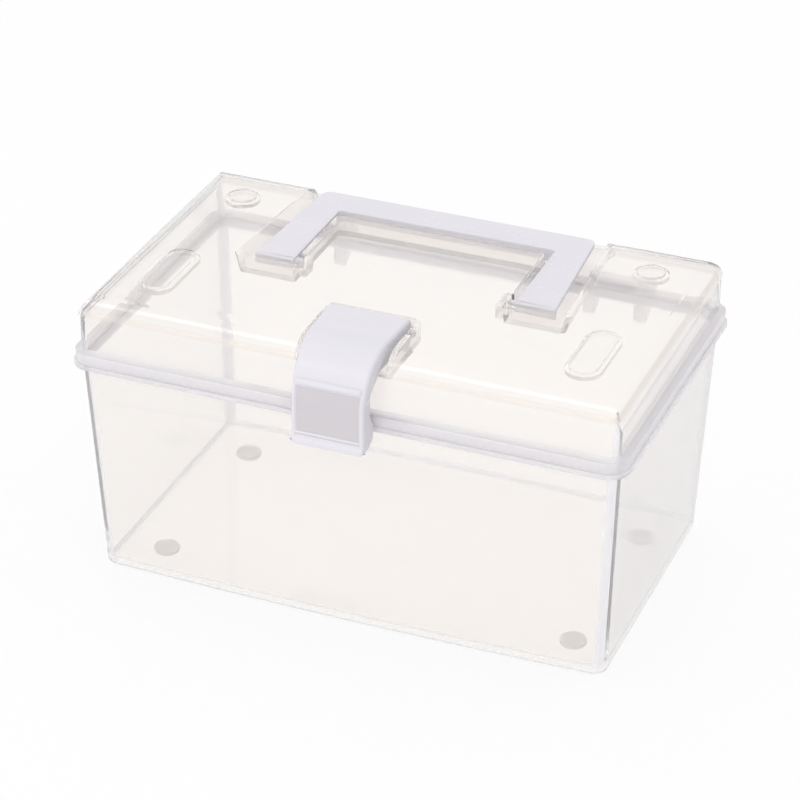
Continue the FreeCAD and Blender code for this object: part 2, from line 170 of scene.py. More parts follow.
class Mould:
    """A bmesh and the few operations that the moulded pieces share."""

    def __init__(self) -> None:
        """Start with an empty mesh."""
        self.bm = bmesh.new()

    def plate(self, outline: Outline, z: float, corner_steps: int, side_cuts: int) -> BMFace:
        """Make a flat face with the outline's shape in an empty mesh.

        Args:
            outline: Shape of the face.
            z: Level of the face.
            corner_steps: Segments in each round corner.
            side_cuts: Points along each long side, which take its bow.

        Returns:
            The face.
        """
        shape = Matrix.Translation((0, 0, z)) @ Matrix.Diagonal((outline.half_x, outline.half_y, 1, 1))
        made = bmesh.ops.create_grid(self.bm, x_segments=1, y_segments=1, size=1, matrix=shape)
        self.round_corners(made["verts"], outline.corner, corner_steps)
        long_sides = [edge for edge in self.bm.edges
                      if all(abs(vert.co.y) > outline.half_y - NEAR for vert in edge.verts)]
        bmesh.ops.bisect_edges(self.bm, edges=long_sides, cuts=side_cuts)
        plain = Outline(outline.half_x, outline.half_y, outline.corner)
        for vert in self.bm.verts:
            vert.co = outline.carry(vert.co, plain, z)
        self.bm.faces.ensure_lookup_table()
        return self.bm.faces[0]

    def polygon(self, corners: Sequence[tuple[Vector, float]]) -> BMFace:
        """Make a flat face with round corners in an empty mesh.

        Args:
            corners: Corner points in order, each with its radius.

        Returns:
            The face.
        """
        verts = [self.bm.verts.new(point) for point, _ in corners]
        self.bm.faces.new(verts)
        for index, (point, radius) in enumerate(corners):
            if radius > NEAR:
                to_last = corners[index - 1][0] - point
                to_next = corners[(index + 1) % len(corners)][0] - point
                reach = radius / math.tan(to_last.angle(to_next) / 2)
                self.round_corners([verts[index]], reach, max(LEAST_STEPS, round(radius / ARC_STEP)))
        self.bm.faces.ensure_lookup_table()
        return self.bm.faces[0]

    def round_corners(self, verts: list[BMVert], reach: float, steps: int) -> None:
        """Round corners of a face, each over the same reach along its two sides.

        Args:
            verts: Corner points.
            reach: Length of side that each corner takes up.
            steps: Segments in each corner.
        """
        bmesh.ops.bevel(self.bm, geom=verts, offset=reach, offset_type="OFFSET", segments=steps,
                        profile=0.5, affect="VERTICES", material=-1)

    def round_edges(self, edges: Iterable[BMEdge], reach: float, steps: int) -> None:
        """Round edges, each over the same reach on its two faces.

        Args:
            edges: Edges to round.
            reach: Width of face that each edge takes up.
            steps: Segments across each round.
        """
        bmesh.ops.bevel(self.bm, geom=list(edges), offset=reach, offset_type="OFFSET", segments=steps,
                        profile=0.5, affect="EDGES", clamp_overlap=False, material=-1)

    def grow(self, edges: list[BMEdge], move: Callable[[Vector], Vector]) -> list[BMEdge]:
        """Extrude a chain of edges and move its copy.

        Args:
            edges: Edges to extrude.
            move: Gives the new place of each copied point.

        Returns:
            The copied edges.
        """
        made = bmesh.ops.extrude_edge_only(self.bm, edges=edges)["geom"]
        fresh = {item for item in made if isinstance(item, BMVert)}
        for vert in fresh:
            vert.co = move(vert.co.copy())
        return [item for item in made if isinstance(item, BMEdge) and fresh.issuperset(item.verts)]

    def fill(self, edges: list[BMEdge]) -> BMFace:
        """Close a ring of edges with one face."""
        return bmesh.ops.contextual_create(self.bm, geom=edges)["faces"][0]

    def fill_between(self, edges: list[BMEdge]) -> list[BMFace]:
        """Fill the flat area between rings of edges, leaving the inner ones open."""
        made = bmesh.ops.triangle_fill(self.bm, edges=edges, use_beauty=True, use_dissolve=False)["geom"]
        return [item for item in made if isinstance(item, BMFace)]

    def ring(self, radius: float, steps: int, place: Matrix) -> list[BMEdge]:
        """Make a ring of edges.

        Args:
            radius: Radius of the ring.
            steps: Edges in it.
            place: Where it goes; half a step is added to its turn, so no point lies on an axis.

        Returns:
            The edges.
        """
        turned = place @ Matrix.Rotation(math.pi / steps, 4, "Z")
        made = bmesh.ops.create_circle(self.bm, segments=steps, radius=radius, matrix=turned)
        return list({edge for vert in made["verts"] for edge in vert.link_edges})

    def pull(self, faces: list[BMFace], by: Vector) -> None:
        """Extrude faces as one region.

        Args:
            faces: Faces to extrude.
            by: How far they go.
        """
        made = bmesh.ops.extrude_face_region(self.bm, geom=faces)["geom"]
        bmesh.ops.translate(self.bm, verts=[item for item in made if isinstance(item, BMVert)], vec=by)
        bmesh.ops.recalc_face_normals(self.bm, faces=self.bm.faces[:])

    def cut(self, point: Vector, normal: Vector, wanted: Wanted) -> None:
        """Cut the wanted faces along a plane.

        Args:
            point: Point of the plane.
            normal: Direction that the plane faces.
            wanted: Tells from a face's middle whether it is cut.
        """
        self.cut_faces([face for face in self.bm.faces if wanted(face.calc_center_median())], point, normal)

    def cut_faces(self, faces: list[BMFace], point: Vector, normal: Vector) -> list[BMFace]:
        """Cut some faces along a plane.

        Args:
            faces: Faces to cut.
            point: Point of the plane.
            normal: Direction that the plane faces.

        Returns:
            The faces that lie behind the plane afterwards.
        """
        edges = {edge for face in faces for edge in face.edges}
        verts = {vert for face in faces for vert in face.verts}
        made = bmesh.ops.bisect_plane(self.bm, geom=[*faces, *edges, *verts], dist=NEAR / 10,
                                      plane_co=point, plane_no=normal)["geom"]
        found = [item for item in made if isinstance(item, BMFace)]
        return [face for face in found if (face.calc_center_median() - point).dot(normal) < 0]

    def open(self, wanted: Wanted) -> list[BMEdge]:
        """Take faces away.

        Args:
            wanted: Tells from a face's middle whether it goes.

        Returns:
            The edges round the opening.
        """
        doomed = {face for face in self.bm.faces if wanted(face.calc_center_median())}
        rim = [edge for edge in self.bm.edges if len(doomed.intersection(edge.link_faces)) == 1]
        rim = [edge for edge in rim if len(edge.link_faces) > 1]
        bmesh.ops.delete(self.bm, geom=list(doomed), context="FACES")
        return rim

    def sink(self, wanted: Wanted, floor_z: float, slide: Callable[[Vector, float], Vector]) -> None:
        """Sink part of the top into a space with walls and a flat floor.

        Args:
            wanted: Tells from a face's middle whether it lies over the space.
            floor_z: Level of the floor.
            slide: Gives a wall's foot from its top point and its depth, before it is lowered.
        """

        def flat(edge: BMEdge) -> bool:
            """Tell whether an edge lies at the floor's level."""
            return all(abs(vert.co.z - floor_z) < NEAR for vert in edge.verts)

        def foot(top: Vector) -> Vector:
            """The foot of the wall under a point of the opening's rim."""
            place = slide(top, top.z - floor_z)
            return Vector((place.x, place.y, floor_z))

        steep = [edge for edge in self.open(wanted) if not flat(edge)]
        self.grow(steep, foot)
        bmesh.ops.remove_doubles(self.bm, verts=self.bm.verts[:], dist=NEAR / 2)
        self.fill([edge for edge in self.bm.edges if edge.is_boundary and flat(edge)])

    def edges_at(self, spots: Iterable[tuple[float, float]], reach: float) -> list[BMEdge]:
        """Find the steep edges that start over given plan places.

        Args:
            spots: Plan places of the edges' upper ends.
            reach: How far from its place an edge may start.

        Returns:
            The edges found.
        """
        found = []
        for edge in self.bm.edges:
            low, high = sorted((vert.co for vert in edge.verts), key=lambda place: place.z)
            steep = high.z - low.z > (high - low).xy.length
            if steep and any(math.dist(high.xy, spot) < reach for spot in spots):
                found.append(edge)
        return found

    def capsule(self, radius: float, half_length: float, centre: Vector) -> None:
        """Add a round-ended bar along X.

        Args:
            radius: Radius of the bar.
            half_length: Half of its length over the round ends.
            centre: Middle of the bar.
        """
        lay = Matrix.Rotation(math.radians(90), 4, "Y")
        made = bmesh.ops.create_uvsphere(self.bm, u_segments=BAR_STEPS, v_segments=BAR_STEPS // 2,
                                          radius=radius, matrix=lay)
        for vert in made["verts"]:
            if abs(vert.co.x) > NEAR:
                vert.co.x += math.copysign(half_length - radius, vert.co.x)
        bmesh.ops.translate(self.bm, verts=made["verts"], vec=centre)

    def take(self, other: "Mould") -> None:
        """Take over another mould's mesh.

        Args:
            other: Mould to take it from, which is used up.
        """
        carrier = bpy.data.meshes.new("carrier")
        other.bm.to_mesh(carrier)
        other.bm.free()
        self.bm.from_mesh(carrier)
        bpy.data.meshes.remove(carrier)

    def mark(self, finishes: Sequence[Finish], finish_of: Callable[[BMFace], Finish]) -> None:
        """Give each face the number of its finish.

        Args:
            finishes: The piece's finishes, in the order of their numbers.
            finish_of: Chooses a face's finish.
        """
        for face in self.bm.faces:
            face.material_index = finishes.index(finish_of(face))

    def settle(self, reach: float = NEAR / 2) -> None:
        """Merge doubles that lie within a reach and turn every face outward."""
        bmesh.ops.remove_doubles(self.bm, verts=self.bm.verts[:], dist=reach)
        bmesh.ops.recalc_face_normals(self.bm, faces=self.bm.faces[:])


def bare_tree(owner: bpy.types.Material | bpy.types.World) -> bpy.types.NodeTree:
    """Give a material or a world an empty node tree.

    Args:
        owner: Material or world.

    Returns:
        Its node tree.
    """
    owner.use_nodes = True
    owner.node_tree.nodes.clear()
    return owner.node_tree


def add_node(tree: bpy.types.NodeTree, kind: str, inputs: dict[str | int, object],
             **settings: object) -> bpy.types.Node:
    """Add a node and feed it.

    Args:
        tree: Node tree that takes it.
        kind: Type of the node.
        inputs: What its sockets get, by name or number: a value, or another node's socket to link.
        settings: Properties of the node itself, which are set first.

    Returns:
        The node.
    """
    made = tree.nodes.new(kind)
    for name, value in settings.items():
        setattr(made, name, value)
    for name, given in inputs.items():
        if isinstance(given, bpy.types.NodeSocket):
            tree.links.new(given, made.inputs[name])
        else:
            made.inputs[name].default_value = given
    return made


def end_tree(tree: bpy.types.NodeTree, share: bpy.types.NodeSocket, first: bpy.types.Node,
             second: bpy.types.Node, output: str = "ShaderNodeOutputMaterial") -> None:
    """End a tree with a mix of two shaders.

    Args:
        tree: Node tree to end.
        share: Socket that gives the second shader's share.
        first: Shader for a share of 0.
        second: Shader for a share of 1.
        output: Type of the tree's last node.
    """
    mix = add_node(tree, "ShaderNodeMixShader", {"Fac": share, 1: first.outputs[0], 2: second.outputs[0]})
    add_node(tree, output, {"Surface": mix.outputs["Shader"]})


@dataclass(frozen=True)
class Plastic:
    """A moulded plastic: what it lets through, its two shades and its surface."""

    finish: Finish
    slot: Slot
    shade: Colour
    cloud: Colour
    clear: float
    smooth: float
    rough: float
    shadow: Colour
    flow_scale: float
    grain_scale: float
    grain_depth: float
    refraction: float = 1.49
    coat: float = 0.0
    # Colour that glass seen at a slant darkens to: partly the longer path through it, partly painted shade
    edge: Colour | None = None
    bump: float = 0.5
    slant: tuple[float, float] = (0.5, 0.98)

    def material(self, groups: "SurfaceGroups") -> bpy.types.Material:
        """Build the node material.

        Args:
            groups: Shared node groups.

        Returns:
            The material.
        """
        made = bpy.data.materials.new(self.finish.value)
        tree = bare_tree(made)
        place = add_node(tree, "ShaderNodeTexCoord", {}).outputs["Object"]
        flow = groups.place(tree, groups.flow, place, self.flow_scale)
        grain = groups.place(tree, groups.grain, place, self.grain_scale)
        tint = add_node(tree, "ShaderNodeMix", {
            "A": (*self.shade, 1), "B": (*self.cloud, 1), "Factor": flow.outputs["Cloud"]},
            data_type="RGBA")
        colour = tint.outputs["Result"]
        # Painted shade at a slant, partly standing for the longer path through the wall
        if self.edge:
            colour = self.painted_slant_shade(tree, colour)
        gloss = add_node(tree, "ShaderNodeMapRange", {
            "To Min": self.smooth, "To Max": self.rough, "Value": grain.outputs["Marks"]})
        bump = add_node(tree, "ShaderNodeBump", {
            "Strength": self.bump, "Distance": self.grain_depth, "Height": grain.outputs["Height"]})
        plastic = add_node(tree, "ShaderNodeBsdfPrincipled", {
            "IOR": self.refraction, "Transmission Weight": self.clear,
            "Coat Weight": self.coat, "Coat Roughness": self.smooth,
            "Base Color": colour, "Roughness": gloss.outputs["Result"], "Normal": bump.outputs["Normal"]})

        # Lamps shine through the walls, so their shadow rays meet a thin tint in place of the glass
        passing = add_node(tree, "ShaderNodeBsdfTransparent", {"Color": (*self.shadow, 1)})
        path = add_node(tree, "ShaderNodeLightPath", {})
        end_tree(tree, path.outputs["Is Shadow Ray"], plastic, passing)
        return made

    def painted_slant_shade(self, tree: bpy.types.NodeTree, colour: bpy.types.NodeSocket) -> bpy.types.NodeSocket:
        """Darken glass that is seen at a slant: partly the longer way light goes through it, partly painted
        shade for the dark lines that refraction draws along the rounds.

        Args:
            tree: Material's node tree.
            colour: Colour of glass that is seen straight on.

        Returns:
            The tinted colour.
        """
        weight = add_node(tree, "ShaderNodeLayerWeight", {"Blend": 0.5})
        start, end = self.slant
        reach = add_node(tree, "ShaderNodeMapRange", {
            "From Min": start, "From Max": end, "Value": weight.outputs["Facing"]},
            interpolation_type="SMOOTHSTEP")
        mix = add_node(tree, "ShaderNodeMix", {
            "A": colour, "B": (*self.edge, 1), "Factor": reach.outputs["Result"]},
            data_type="RGBA")
        return mix.outputs["Result"]


class SurfaceGroups:
    """Node groups that every plastic uses: moulding flow, and grain with handling marks."""

    def __init__(self) -> None:
        """Build both groups once."""
        self.flow = self._flow()
        self.grain = self._grain()

    @staticmethod
    def place(tree: bpy.types.NodeTree, group: bpy.types.NodeTree, spot: bpy.types.NodeSocket,
              scale: float) -> bpy.types.Node:
        """Put a group into a material.

        Args:
            tree: Material's node tree.
            group: Group to place.
            spot: Coordinates that it reads.
            scale: Scale of its pattern.

        Returns:
            The group node.
        """
        return add_node(tree, "ShaderNodeGroup", {"Vector": spot, "Scale": scale}, node_tree=group)

    @staticmethod
    def _start(name: str, outputs: Sequence[str]) -> GroupEnds:
        """Start a group with a Vector and a Scale input.

        Args:
            name: Name of the group.
            outputs: Names of its value outputs.

        Returns:
            The group, its input node and its output node.
        """
        tree = bpy.data.node_groups.new(name, "ShaderNodeTree")
        tree.interface.new_socket("Vector", in_out="INPUT", socket_type="NodeSocketVector")
        tree.interface.new_socket("Scale", in_out="INPUT", socket_type="NodeSocketFloat")
        for output in outputs:
            tree.interface.new_socket(output, in_out="OUTPUT", socket_type="NodeSocketFloat")
        return tree, tree.nodes.new("NodeGroupInput"), tree.nodes.new("NodeGroupOutput")

    def _flow(self) -> bpy.types.NodeTree:
        """Cloudiness that the melt leaves in the wall, drawn out along the box.

        Returns:
            The group, with a Cloud output.
        """
        tree, given, result = self._start("moulding_flow", ["Cloud"])
        stretch = add_node(tree, "ShaderNodeMapping", {
            "Scale": (0.6, 1.0, 1.4), "Vector": given.outputs["Vector"]})
        noise = add_node(tree, "ShaderNodeTexNoise", {
            "Detail": 3, "Distortion": 0.6, "Vector": stretch.outputs["Vector"],
            "Scale": given.outputs["Scale"]})
        spread = add_node(tree, "ShaderNodeMapRange", {
            "From Min": 0.3, "From Max": 0.7, "Value": noise.outputs["Fac"]})
        tree.links.new(spread.outputs["Result"], result.inputs["Cloud"])
        return tree

    def _grain(self) -> bpy.types.NodeTree:
        """Fine orange-peel height of the mould's surface, and faint rubbed marks.

        Returns:
            The group, with Height and Marks outputs.
        """
        tree, given, result = self._start("mould_grain", ["Height", "Marks"])
        spot, scale = given.outputs["Vector"], given.outputs["Scale"]
        peel = add_node(tree, "ShaderNodeTexNoise", {"Detail": 2, "Vector": spot, "Scale": scale})
        tree.links.new(peel.outputs["Fac"], result.inputs["Height"])
        coarse = add_node(tree, "ShaderNodeMath", {0: scale, 1: 0.22}, operation="MULTIPLY")
        marks = add_node(tree, "ShaderNodeTexNoise", {
            "Detail": 4, "Vector": spot, "Scale": coarse.outputs[0]})
        spread = add_node(tree, "ShaderNodeMapRange", {
            "From Min": 0.4, "From Max": 0.75, "Value": marks.outputs["Fac"]})
        tree.links.new(spread.outputs["Result"], result.inputs["Marks"])
        return tree


PLASTICS = (
    # The clear wall's edge colour is painted shade where it is seen at a slant, partly standing for the
    # longer path
    Plastic(Finish.CLEAR, Slot.CLEAR, shade=(1.0, 0.981, 0.966), cloud=(0.995, 0.976, 0.960),
            clear=0.92, smooth=0.08, rough=0.13, shadow=(0.99, 0.985, 0.98), flow_scale=14,
            grain_scale=420, grain_depth=0.00003, refraction=1.1, coat=0.7, edge=(0.62, 0.61, 0.645)),
    # Milkier copy of the clear plastic: painted highlight and lines on the rounds, and the hinge leaves'
    # milky plastic
    Plastic(Finish.EDGE, Slot.CLEAR, shade=(0.94, 0.935, 0.965), cloud=(0.96, 0.955, 0.98),
            clear=0.7, smooth=0.10, rough=0.14, shadow=(0.98, 0.98, 0.98), flow_scale=30,
            grain_scale=420, grain_depth=0.00001, refraction=1.08, coat=0.5),
    Plastic(Finish.RIM, Slot.CLEAR, shade=(0.925, 0.91, 0.94), cloud=(0.94, 0.925, 0.95),
            clear=0.5, smooth=0.11, rough=0.15, shadow=(0.93, 0.93, 0.93), flow_scale=30,
            grain_scale=420, grain_depth=0.000005, refraction=1.15, coat=0.5),
    Plastic(Finish.WHITE, Slot.WHITE, shade=(0.755, 0.74, 0.795), cloud=(0.775, 0.76, 0.81),
            clear=0.0, smooth=0.26, rough=0.285, shadow=(0.85, 0.85, 0.86), flow_scale=30,
            grain_scale=500, grain_depth=0.000002, refraction=1.3),
    # A darker copy of the white: painted shade on the latch's front panel
    Plastic(Finish.SHADED_PANEL, Slot.WHITE, shade=(0.625, 0.595, 0.625), cloud=(0.645, 0.615, 0.64),
            clear=0.0, smooth=0.28, rough=0.36, shadow=(0.85, 0.85, 0.86), flow_scale=30,
            grain_scale=700, grain_depth=0.000006, refraction=1.3),
    Plastic(Finish.PIN, Slot.PIN, shade=(0.90, 0.90, 0.92), cloud=(0.86, 0.86, 0.89),
            clear=0.4, smooth=0.12, rough=0.15, shadow=(0.7, 0.7, 0.7), flow_scale=120,
            grain_scale=1600, grain_depth=0.00002),
    Plastic(Finish.FOOT, Slot.FOOT, shade=(0.97, 0.97, 0.96), cloud=(0.93, 0.93, 0.93),
            clear=0.0, smooth=0.42, rough=0.6, shadow=(0.93, 0.93, 0.93), flow_scale=90,
            grain_scale=2200, grain_depth=0.00006),
)
SHELL = (Finish.CLEAR, Finish.EDGE, Finish.RIM)
LATCH = (Finish.WHITE, Finish.SHADED_PANEL)


def set_out(name: str, data: bpy.types.ID) -> bpy.types.Object:
    """Put an object into the scene.

    Args:
        name: Name of the object.
        data: Mesh, camera or light that it shows.

    Returns:
        The object.
    """
    made = bpy.data.objects.new(name, data)
    bpy.context.scene.collection.objects.link(made)
    return made


class Finisher:
    """Turns moulds into finished pieces and dresses carried-over nodes."""

    def __init__(self) -> None:
        """Build every plastic once."""
        groups = SurfaceGroups()
        self.plastics = {plastic.finish: plastic for plastic in PLASTICS}
        self.materials = {plastic.finish: plastic.material(groups) for plastic in PLASTICS}

    def piece(self, name: str, mould: Mould, finishes: Sequence[Finish], body: Body,
              nodes: Sequence[str] = ()) -> bpy.types.Object:
        """Make an object of a mould and set it on its body.

        Args:
            name: Name of the piece.
            mould: Its mesh, which is used up.
            finishes: Its finishes, in the order of its faces' material numbers.
            body: Body that it moves with.
            nodes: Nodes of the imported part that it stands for.

        Returns:
            The object.
        """
        mesh = bpy.data.meshes.new(name)
        mould.bm.to_mesh(mesh)
        mould.bm.free()
        for finish in finishes:
            mesh.materials.append(self.materials[finish])
        mesh.shade_smooth()
        mesh.set_sharp_from_angle(angle=SHARP_ANGLE)
        made = set_out(name, mesh)
        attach(made, body.value)
        if nodes:
            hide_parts(*nodes)
        LOG.info("%s: %d faces, rides on %s", name, len(mesh.polygons), body.value)
        return made

    def dress(self, node: str, finish: Finish) -> None:
        """Give a carried-over node its material.

        Args:
            node: Name of the node.
            finish: Finish to use.
        """
        kept = frame["nodes"][node]
        kept.data.materials.clear()
        kept.data.materials.append(self.materials[finish])
        LOG.info("%s: kept from the packed part", node)


def on_corner(face: BMFace) -> bool:
    """Tell whether a face lies on an upright round corner."""
    return abs(face.normal.x) > CORNER_LEAN and abs(face.normal.y) > CORNER_LEAN


def thicken(piece: bpy.types.Object, wall: float) -> None:
    """Give a skin its wall, inward.

    Args:
        piece: Object whose mesh is a skin.
        wall: Thickness of the wall.
    """
    shell = piece.modifiers.new("wall", "SOLIDIFY")
    shell.thickness = wall
    shell.offset = -1
    shell.solidify_mode = "NON_MANIFOLD"
    shell.nonmanifold_thickness_mode = "FIXED"
    shell.nonmanifold_boundary_mode = "FLAT"


def even_shading(piece: bpy.types.Object) -> None:
    """Shade small rounds as the large faces beside them."""
    even = piece.modifiers.new("shading", "WEIGHTED_NORMAL")
    even.keep_sharp = True


def soften(piece: bpy.types.Object, edge: float, steps: int = 2) -> None:
    """Round the sharp edges of a piece, then even out its shading.

    Args:
        piece: Object to finish.
        edge: Radius of the edges.
        steps: Segments across each edge.
    """
    rounding = piece.modifiers.new("edges", "BEVEL")
    rounding.width = edge
    rounding.segments = steps
    rounding.limit_method = "ANGLE"
    rounding.angle_limit = SHARP_ANGLE
    rounding.miter_outer = "MITER_ARC"
    even_shading(piece)


@dataclass
class BinShell:
    """Open drafted box with its rim and lip."""

    base: Outline = Outline(0.1215, 0.0685, 0.006, 0.0024)
    top: Outline = Outline(0.1258, 0.0741, 0.006)
    height: float = 0.1068
    wall: float = 0.002
    floor: float = 0.0022
    base_round: float = 0.0022
    lip_overhang: float = 0.0043
    lip_thickness: float = 0.0022
    rim_rise: float = 0.003
    edge: float = 0.0005
    corner_steps: int = 7
    side_cuts: int = 9
    base_steps: int = 4
    edge_steps: int = 3

    def build(self, finisher: Finisher) -> None:
        """Raise the walls from the base, fold them over the lip and lower the inside.

        Args:
            finisher: Makes the piece.
        """
        base_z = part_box("bin")[0].z
        lip_z = base_z + self.height
        shelf_z = lip_z + self.lip_thickness
        rim_z = shelf_z + self.rim_rise
        floor_z = base_z + self.floor
        lip = self.top.grown(self.lip_overhang)
        mouth = self.top.grown(-self.wall)
        well = self.base.towards(self.top, self.floor / self.height).grown(-self.wall)
        mould = Mould()
        ring = list(mould.plate(self.base, base_z, self.corner_steps, self.side_cuts).edges)
        rings = [ring]
        last = self.base
        for outline, z in ((self.top, lip_z), (lip, lip_z), (lip, shelf_z), (self.top, shelf_z),
                           (self.top, rim_z), (mouth, rim_z), (mouth, lip_z), (well, floor_z)):
            ring = mould.grow(ring, lambda spot: outline.carry(spot, last, z))
            rings.append(ring)
            last = outline
        mould.fill(ring)
        mould.settle()
        mould.round_edges(rings[0] + rings[-1], self.base_round, self.base_steps)
        mould.round_edges(rings[2] + rings[3] + rings[5] + rings[6], self.edge, self.edge_steps)
        mould.mark(SHELL, lambda face: self.finish_of(face, lip_z))
        even_shading(finisher.piece("bin_shell", mould, SHELL, Body.BIN, ["bin"]))

    @staticmethod
    def finish_of(face: BMFace, lip_z: float) -> Finish:
        """Choose a face's finish.

        Args:
            face: Face to look at.
            lip_z: Level of the lip's underside.

        Returns:
            Its finish.
        """
        if face.calc_center_median().z > lip_z - NEAR:
            return Finish.RIM
        below = BASE_LEAN[0] < abs(face.normal.z) < BASE_LEAN[1]
        # Corner and base rounds take the milkier copy, which paints their highlight and lines
        return Finish.EDGE if on_corner(face) or below else Finish.CLEAR


@dataclass
class LidShell:
    """Domed cover with its skirt, handle channel, latch recess and stacking recesses."""

    half_x: float = 0.126
    half_y: float = 0.0741
    rise: float = 0.0252
    lean: float = 0.0016
    long_round: float = 0.012
    side_round: float = 0.005
    shoulder_rise: float = 0.0013
    skirt_height: float = 0.005
    skirt_corner: float = 0.0093
    wall: float = 0.0018
    edge: float = 0.0004
    channel_half: float = 0.0782
    channel_taper: float = 0.0709
    channel_front: float = -0.006
    channel_depth: float = 0.0084
    channel_draft: float = 0.0024
    channel_corner: float = 0.003
    island_half: float = 0.051
    island_rear: float = 0.044
    island_draft: float = 0.0008
    pocket_end: float = 0.0478
    pocket_half: float = 0.00207
    pocket_depth: float = 0.0024
    recess_half: float = 0.0204
    recess_rear: float = -0.035
    recess_depth: float = 0.0087
    recess_corner: float = 0.002
    stack_radius: float = 0.0065
    stack_depth: float = 0.0018
    stack_margin: float = 1.25
    slot_travel: float = 0.026
    long_steps: int = 12
    side_steps: int = 6
    channel_steps: int = 5
    recess_steps: int = 4
    stack_steps: int = 40

    def build(self, finisher: Finisher) -> None:
        """Make the outer and the inner skin and join them along the skirt.

        Args:
            finisher: Makes the piece.
        """
        outer, inner = LidSkin(self, 0), LidSkin(self, self.wall)
        mould = outer.build()
        rim = [edge for edge in mould.bm.edges if edge.is_boundary]
        mould.grow(rim, lambda spot: inner.skirt.carry(spot, outer.skirt, spot.z))
        mould.take(inner.build())
        mould.settle(NEAR * 2)
        foot_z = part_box("lid")[1].z - self.rise
        mould.mark(SHELL, lambda face: self.finish_of(face, foot_z))
        soften(finisher.piece("lid_shell", mould, SHELL, Body.LID, ["lid"]), self.edge)

    def finish_of(self, face: BMFace, foot_z: float) -> Finish:
        """Choose a face's finish.

        Args:
            face: Face to look at.
            foot_z: Level of the dome's foot.

        Returns:
            Its finish.
        """
        middle = face.calc_center_median()
        if middle.z < foot_z + NEAR:
            return Finish.RIM
        inside_x = abs(middle.x) < self.half_x - self.side_round
        sunk = inside_x and abs(middle.y) < self.half_y - self.long_round
        # Corner rounds take the milkier copy, which paints their highlight and lines
        return Finish.EDGE if on_corner(face) and not sunk else Finish.CLEAR


